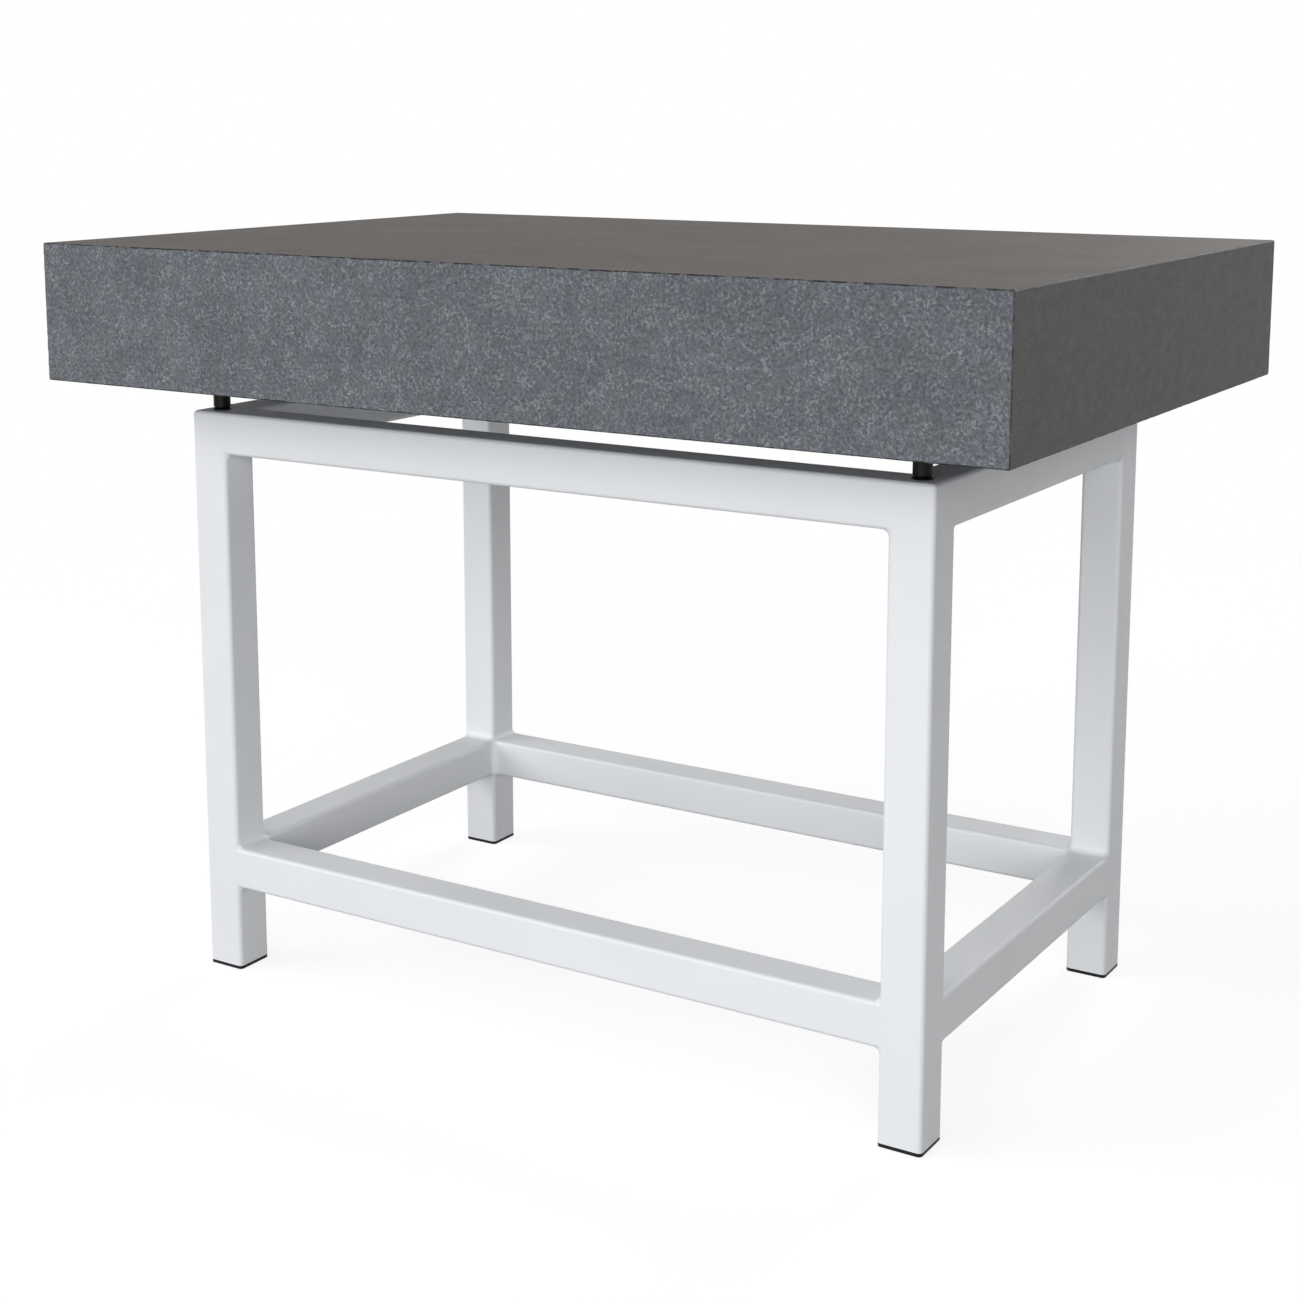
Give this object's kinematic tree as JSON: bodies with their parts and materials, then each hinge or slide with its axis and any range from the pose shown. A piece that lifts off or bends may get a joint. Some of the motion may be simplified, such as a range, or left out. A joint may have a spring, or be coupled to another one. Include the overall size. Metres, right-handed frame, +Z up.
{
  "type": "granite surface plate with stand",
  "caption": "Granite inspection surface plate resting on levelling screws and swivel pads, on a welded white square-tube stand with lower rails and black foot inserts.",
  "frame": {"origin": "on the floor, under the middle of the plate", "axes": "+X along the plate's long front edge to the right, +Y from front to back, +Z up, square to the work surface"},
  "size_m": [1.2, 0.8, 0.89],
  "materials": {
    "granite": "lapped matt top, fine-sawn sides",
    "stand_paint": "white satin powder coat",
    "black_steel": "black oxide",
    "foot_plastic": "moulded, fine matt",
    "pad_rubber": "matt"
  },
  "bodies": {
    "stand": {"leg_front_left": "stand_paint", "leg_front_right": "stand_paint", "leg_rear_left": "stand_paint", "leg_rear_right": "stand_paint", "front_top_rail": "stand_paint", "front_lower_rail": "stand_paint", "right_top_rail": "stand_paint", "right_lower_rail": "stand_paint", "rear_top_rail": "stand_paint", "rear_lower_rail": "stand_paint", "left_top_rail": "stand_paint", "left_lower_rail": "stand_paint", "nut_block_front_left": "stand_paint", "nut_block_front_right": "stand_paint", "nut_block_rear_left": "stand_paint", "nut_block_rear_right": "stand_paint", "rear_rail_bush": "stand_paint", "foot_insert_front_left": "foot_plastic", "foot_insert_front_right": "foot_plastic", "foot_insert_rear_left": "foot_plastic", "foot_insert_rear_right": "foot_plastic"},
    "support_pads": {"swivel_pad_front_left": "black_steel", "pad_facing_front_left": "pad_rubber", "swivel_pad_front_right": "black_steel", "pad_facing_front_right": "pad_rubber", "swivel_pad_rear_middle": "black_steel", "pad_facing_rear_middle": "pad_rubber"},
    "plate": {"granite_plate": "granite"},
    "screw_front_left": {"levelling_screw_front_left": "black_steel"},
    "screw_front_right": {"levelling_screw_front_right": "black_steel"},
    "screw_rear_middle": {"levelling_screw_rear_middle": "black_steel"},
    "guard_pad_rear_left": {"guard_pad_rear_left": "black_steel", "guard_facing_rear_left": "pad_rubber"},
    "guard_screw_rear_left": {"guard_screw_rear_left": "black_steel"},
    "guard_pad_rear_right": {"guard_pad_rear_right": "black_steel", "guard_facing_rear_right": "pad_rubber"},
    "guard_screw_rear_right": {"guard_screw_rear_right": "black_steel"}
  },
  "joints": [
    {"name": "plate_height", "type": "slide", "parent": "stand", "child": "support_pads", "axis": [0, 0, 1], "range_m": [-0.0012, 0.02]},
    {"name": "plate_lift_off", "type": "slide", "parent": "support_pads", "child": "plate", "axis": [0, 0, 1], "range_m": [0, 0.25]},
    {"name": "screw_turn_front_left", "type": "hinge", "parent": "support_pads", "child": "screw_front_left", "pos_m": [-0.455, -0.265, 0.706], "axis": [0, 0, 1], "range_deg": [-174, 2882]},
    {"name": "screw_turn_front_right", "type": "hinge", "parent": "support_pads", "child": "screw_front_right", "pos_m": [0.455, -0.265, 0.706], "axis": [0, 0, 1], "range_deg": [-174, 2882]},
    {"name": "screw_turn_rear_middle", "type": "hinge", "parent": "support_pads", "child": "screw_rear_middle", "pos_m": [0, 0.265, 0.706], "axis": [0, 0, 1], "range_deg": [-174, 2882]},
    {"name": "guard_travel_rear_left", "type": "slide", "parent": "stand", "child": "guard_pad_rear_left", "axis": [0, 0, 1], "range_m": [-0.0136, 0.00065]},
    {"name": "guard_turn_rear_left", "type": "hinge", "parent": "guard_pad_rear_left", "child": "guard_screw_rear_left", "pos_m": [-0.455, 0.265, 0.704], "axis": [0, 0, 1], "range_deg": [-1944, 86.4]},
    {"name": "guard_travel_rear_right", "type": "slide", "parent": "stand", "child": "guard_pad_rear_right", "axis": [0, 0, 1], "range_m": [-0.0136, 0.00065]},
    {"name": "guard_turn_rear_right", "type": "hinge", "parent": "guard_pad_rear_right", "child": "guard_screw_rear_right", "pos_m": [0.455, 0.265, 0.704], "axis": [0, 0, 1], "range_deg": [-1944, 86.4]}
  ],
  "couplings": [
    {"joint": "screw_turn_front_left", "follows": "plate_height", "rad_per_m": 2513.3},
    {"joint": "screw_turn_front_right", "follows": "plate_height", "rad_per_m": 2513.3},
    {"joint": "screw_turn_rear_middle", "follows": "plate_height", "rad_per_m": 2513.3},
    {"joint": "guard_travel_rear_left", "follows": "guard_turn_rear_left", "m_per_rad": 0.00039789},
    {"joint": "guard_travel_rear_right", "follows": "guard_turn_rear_right", "m_per_rad": 0.00039789}
  ]
}
